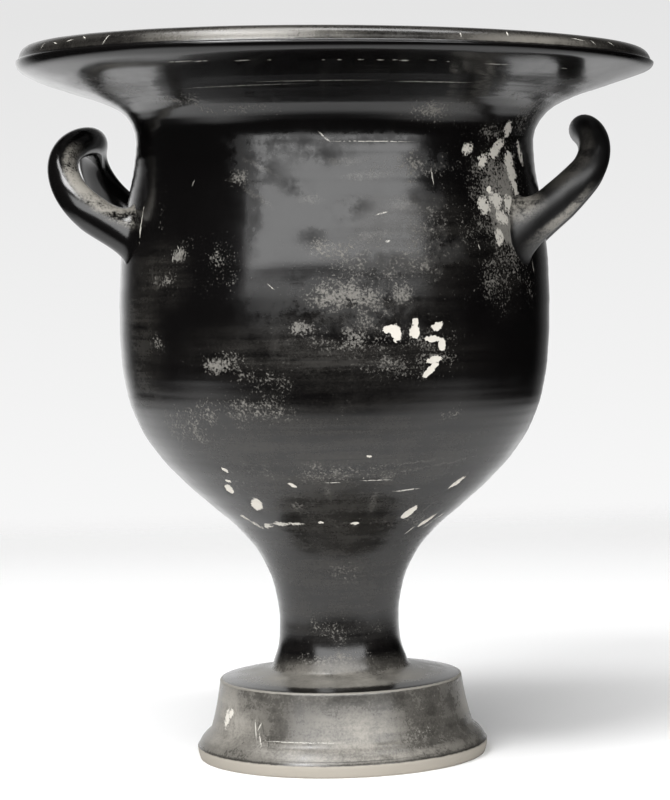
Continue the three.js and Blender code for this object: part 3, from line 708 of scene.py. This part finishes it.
def gloss_clay():
    """Black gloss: a slip of the finest clay, burnished and fired black in a kiln without air. It is a
    deep neutral black with a satin shine. Worn places show grey clay, and burial left pale lime. The grey
    also paints highlights on the lip, the disc's edge, the foot and the second handle, the foot's lighter
    left side, and a painted dark ring inside the disc's edge."""
    material = bpy.data.materials.new("black_gloss_slip_on_fired_clay")
    material.use_nodes = True
    tree = material.node_tree
    tree.nodes.clear()
    place = add(tree, "ShaderNodeTexCoord", {})
    here = place["Object"]
    wheel = add(tree, "ShaderNodeMapping", {"Vector": here, "Scale": ALONG_WHEEL})[0]
    look = {}
    for name, (on_wheel, size, detail, rough) in PATTERNS.items():
        noise = {"Scale": per(size), "Detail": detail, "Roughness": rough}
        noise["Vector"] = wheel if on_wheel else here
        look[name] = add(tree, "ShaderNodeTexNoise", noise)["Fac"]
    for name in COVERS:
        look[name] = add(tree, "ShaderNodeAttribute", {}, attribute_name=name)["Fac"]
    for name, parts in MIXES.items():
        total = 0.0
        for part, weight in parts.items():
            both = {0: look[part], 1: weight, 2: total}
            total = add(tree, "ShaderNodeMath", both, operation="MULTIPLY_ADD")[0]
        look[name] = total
    for name, (source, low, high) in STEPS.items():
        step = {"Value": look[source], "From Min": low, "From Max": high}
        look[name] = add(tree, "ShaderNodeMapRange", step, interpolation_type="SMOOTHSTEP")[0]

    # Places on the surface, pushed about by a noise so that every edge is uneven.
    noise = {"Vector": here, "Scale": per(RAG_SIZE), "Detail": 4.0, "Roughness": 0.6}
    rag = add(tree, "ShaderNodeTexNoise", noise)["Color"]
    rag = add(tree, "ShaderNodeVectorMath", {0: rag, 1: (0.5, 0.5, 0.5)}, operation="SUBTRACT")[0]
    flat = {}
    for name, reach in RAGGED.items():
        push = {0: rag, 1: (reach, reach, reach), 2: place["UV"]}
        flat[name] = add(tree, "ShaderNodeVectorMath", push, operation="MULTIPLY_ADD")[0]
    look["along"] = add(tree, "ShaderNodeSeparateXYZ", {"Vector": flat["nearly"]})["Y"]
    roll_way = add(tree, "ShaderNodeSeparateXYZ", {"Vector": flat["frayed"]})
    look["round_roll"], look["along_roll"] = roll_way["X"], roll_way["Y"]
    for name, (way, starts, full, still, ends) in BANDS.items():
        both = []
        for none, all_of_it in ((starts, full), (ends, still)):
            step = {"Value": look[way], "From Min": none, "From Max": all_of_it}
            both.append(add(tree, "ShaderNodeMapRange", step, interpolation_type="SMOOTHSTEP")[0])
        look[name] = add(tree, "ShaderNodeMath", {0: both[0], 1: both[1]}, operation="MULTIPLY")[0]
    for name, (places, way, weight, low, high, last) in CRUMBLY.items():
        spot = ovals(tree, flat[way], places)
        crumbled = {0: look["crumbs"], 1: weight, 2: spot}
        crumbled = add(tree, "ShaderNodeMath", crumbled, operation="MULTIPLY_ADD")[0]
        both = []
        for value, none, all_of_it in ((crumbled, low, high), (spot, 0, last)):
            step = {"Value": value, "From Min": none, "From Max": all_of_it}
            both.append(add(tree, "ShaderNodeMapRange", step, interpolation_type="SMOOTHSTEP")[0])
        look[name] = add(tree, "ShaderNodeMath", {0: both[0], 1: both[1]}, operation="MULTIPLY")[0]
    for name, (places, way, low, high, breaks) in FINE.items():
        step = {"Value": ovals(tree, flat[way], places), "From Min": low, "From Max": high}
        mark = add(tree, "ShaderNodeMapRange", step, interpolation_type="SMOOTHSTEP")[0]
        look[name] = add(tree, "ShaderNodeMath", {0: mark, 1: look[breaks]}, operation="MULTIPLY")[0]
    for name, operation, *parts in RECIPE:
        values = {slot: look.get(part, part) for slot, part in enumerate(parts)}
        look[name] = add(tree, "ShaderNodeMath", values, operation=operation)[0]

    shade, dull = linear(GLOSS), 0.0
    for name, cover, colour, dullness in LAYERS:
        if cover:
            part = add(tree, "ShaderNodeMath", {0: look[name], 1: cover}, operation="MULTIPLY")[0]
            # Inputs 6 and 7 are the two colours that the node mixes, and output 2 is their mix.
            paint = {"Factor": part, 6: shade, 7: linear(colour)}
            shade = add(tree, "ShaderNodeMix", paint, data_type="RGBA")[2]
        if dullness:
            part = add(tree, "ShaderNodeMath", {0: look[name], 1: dullness}, operation="MULTIPLY")[0]
            dull = add(tree, "ShaderNodeMath", {0: dull, 1: part}, operation="MAXIMUM")[0]
    rough = {"Value": dull, "To Min": ROUGHNESS["gloss"], "To Max": ROUGHNESS["dull"]}
    rough = add(tree, "ShaderNodeMapRange", rough)[0]
    wander = {"Value": look["cloud"], "To Min": ROUGHNESS["least"], "To Max": ROUGHNESS["most"]}
    wander = add(tree, "ShaderNodeMapRange", wander)[0]
    rough = add(tree, "ShaderNodeMath", {0: rough, 1: wander}, operation="ADD")[0]
    bump = {"Height": look["relief"], "Distance": 0.001, "Strength": 1.0}
    bump = add(tree, "ShaderNodeBump", bump)["Normal"]
    surface = {"Base Color": shade, "Roughness": rough, "Normal": bump, "IOR": 1.5}
    shader = add(tree, "ShaderNodeBsdfPrincipled", surface)["BSDF"]
    add(tree, "ShaderNodeOutputMaterial", {"Surface": shader})
    return material


krater.data.materials.append(gloss_clay())
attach(krater, "root")
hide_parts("krater")

# Table --------------------------------------------------------------------------------------------
# A white laminate table that ends a little in front of the krater. It fades out on all four sides, so
# that no edge shows. Sizes are metres from here on.
TABLE = {"left": -0.85, "right": 0.66, "front": -0.42, "back": 1.3}
LAMINATE_WHITE = 0xF6F6F6
# Where each side fades: the axis, and how far in from the edge it is solid.
FADES = {"left": ("X", 0.45), "right": ("X", -0.42), "front": ("Y", 0.28), "back": ("Y", -0.5)}


def plain_table():
    """A flat oblong between x = left and right, and y = front and back."""
    left, right, front, back = TABLE["left"], TABLE["right"], TABLE["front"], TABLE["back"]
    corners = [[left, front, 0], [right, front, 0], [right, back, 0], [left, back, 0]]
    mesh = bpy.data.meshes.new("table")
    mesh.from_pydata(corners, [], [[0, 1, 2, 3]])
    table = bpy.data.objects.new("table", mesh)
    bpy.context.scene.collection.objects.link(table)
    return table


def white_laminate():
    """Matt white laminate: even, nearly white, with no shine that the eye would notice."""
    material = bpy.data.materials.new("matt_white_laminate")
    material.use_nodes = True
    tree = material.node_tree
    tree.nodes.clear()
    here = add(tree, "ShaderNodeTexCoord", {})["Object"]
    way = add(tree, "ShaderNodeSeparateXYZ", {"Vector": here})
    fade = 1.0
    for end, (axis, width) in FADES.items():
        step = {"Value": way[axis], "From Min": TABLE[end], "From Max": TABLE[end] + width}
        side = add(tree, "ShaderNodeMapRange", step, interpolation_type="SMOOTHSTEP")[0]
        fade = add(tree, "ShaderNodeMath", {0: fade, 1: side}, operation="MULTIPLY")[0]
    white = add(tree, "ShaderNodeBsdfDiffuse", {"Color": linear(LAMINATE_WHITE)})["BSDF"]
    clear = add(tree, "ShaderNodeBsdfTransparent", {})["BSDF"]
    mix = add(tree, "ShaderNodeMixShader", {0: fade, 1: clear, 2: white})[0]
    add(tree, "ShaderNodeOutputMaterial", {"Surface": mix})
    return material


table = plain_table()
table.data.materials.append(white_laminate())

# Light --------------------------------------------------------------------------------------------
# A wide window three metres in front with its sill higher than the krater, a smaller soft light high on
# the front left, one overhead, and a pale room behind. The room in front stays dark, so the gloss stays
# black. Each light is [width, height, place, target, brightness].
LIGHTS = {
    "window": (6.7, 1.75, (0.03, -3.1, 1.46), (0.03, 0.0, 1.46), 4.8),
    "left_light": (1.0, 0.8, (-0.95, -1.22, 2.04), (0.0, 0.0, 0.2), 17.0),
    "ceiling_light": (2.3, 0.6, (-0.1, -0.35, 2.1), (-0.1, -0.35, 0.0), 9.6),
}
# The room as the camera sees it, by height, and as it lights the krater, by depth and then by side:
# [from, to, brightness from, brightness to], where each direction runs from -1 to 1.
SEEN = (-0.16, 0.09, 0.985, 0.785)
BEHIND = (0.72, 0.98, 0.015, 1.1)
SIDEWAYS = (-0.2, 0.4, 1.15, 0.2)


def soft_light(name, wide, high, place, target, brightness):
    """A flat light of a given brightness: power = brightness x pi x area."""
    data = bpy.data.lights.new(name, "AREA")
    data.shape = "RECTANGLE"
    data.size, data.size_y = wide, high
    data.energy = brightness * math.pi * wide * high
    lamp = bpy.data.objects.new(name, data)
    bpy.context.scene.collection.objects.link(lamp)
    lamp.location = place
    lamp.rotation_euler = (Vector(place) - Vector(target)).to_track_quat("Z", "Y").to_euler()
    lamp.visible_camera = False


for lamp_name, lamp_values in LIGHTS.items():
    soft_light(lamp_name, *lamp_values)


def room():
    """Backdrop brightness for the camera, and for reflections bright behind and dark in front."""
    world = bpy.data.worlds.new("room")
    world.use_nodes = True
    tree = world.node_tree
    tree.nodes.clear()
    way = add(tree, "ShaderNodeSeparateXYZ", {"Vector": add(tree, "ShaderNodeTexCoord", {})["Generated"]})
    levels = []
    for axis, (start, end, low, high), curve in (
        ("Z", SEEN, "LINEAR"), ("Y", BEHIND, "SMOOTHSTEP"), ("X", SIDEWAYS, "LINEAR"),
    ):
        step = {"Value": way[axis], "From Min": start, "From Max": end, "To Min": low, "To Max": high}
        levels.append(add(tree, "ShaderNodeMapRange", step, interpolation_type=curve)[0])
    seen, behind, sideways = levels
    behind = add(tree, "ShaderNodeMath", {0: behind, 1: sideways}, operation="MULTIPLY")[0]
    seen_light = add(tree, "ShaderNodeBackground", {"Color": linear(0xFFFFFF), "Strength": seen})[0]
    room_light = add(tree, "ShaderNodeBackground", {"Color": linear(0xFFFFFF), "Strength": behind})[0]
    ray = add(tree, "ShaderNodeLightPath", {})["Is Camera Ray"]
    mix = add(tree, "ShaderNodeMixShader", {0: ray, 1: room_light, 2: seen_light})[0]
    add(tree, "ShaderNodeOutputWorld", {"Surface": mix})
    bpy.context.scene.world = world


room()

# Camera -------------------------------------------------------------------------------------------
# A long lens a little above the krater's middle, looking slightly down and tilted slightly clockwise.
CAMERA_PLACE = (-0.00434, -1.319, 0.2417)
LOOK_DOWN, TILT = 0.0522, -0.0272
camera_data = bpy.data.cameras.new("camera")
camera_data.sensor_width = 36
camera_data.lens = 121.85
camera = bpy.data.objects.new("camera", camera_data)
bpy.context.scene.collection.objects.link(camera)
camera.matrix_world = (
    Matrix.Translation(CAMERA_PLACE)
    @ Matrix.Rotation(math.pi / 2 - LOOK_DOWN, 4, "X")
    @ Matrix.Rotation(TILT, 4, "Z")
)
bpy.context.scene.camera = camera
bpy.context.scene.view_settings.view_transform = "Standard"
